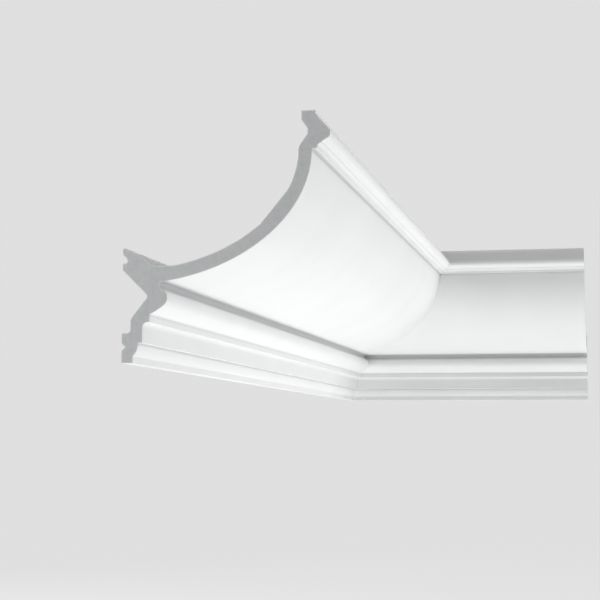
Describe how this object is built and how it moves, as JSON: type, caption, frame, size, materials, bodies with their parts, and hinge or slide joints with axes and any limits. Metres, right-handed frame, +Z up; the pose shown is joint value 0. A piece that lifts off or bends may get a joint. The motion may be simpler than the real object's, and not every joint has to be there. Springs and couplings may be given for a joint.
{
  "type": "cornice moulding",
  "caption": "White ceiling cornice for an inside corner: a mitred long length and return of one swelling section, hollow behind, with stepped beads along wall and ceiling.",
  "frame": {"origin": "inside corner of the two walls, level with the moulding's bottom edge, on the wall pad of the long length", "axes": "+Z up to the ceiling at 0.171; long length on the wall x = 0 along -Y; return on the wall y = 0 along +X"},
  "size_m": [0.3, 0.9, 0.171],
  "materials": {
    "primed_foam": "white primer skin, satin matt"
  },
  "bodies": {
    "root": {"long_length": "primed_foam", "return_length": "primed_foam"}
  },
  "joints": []
}
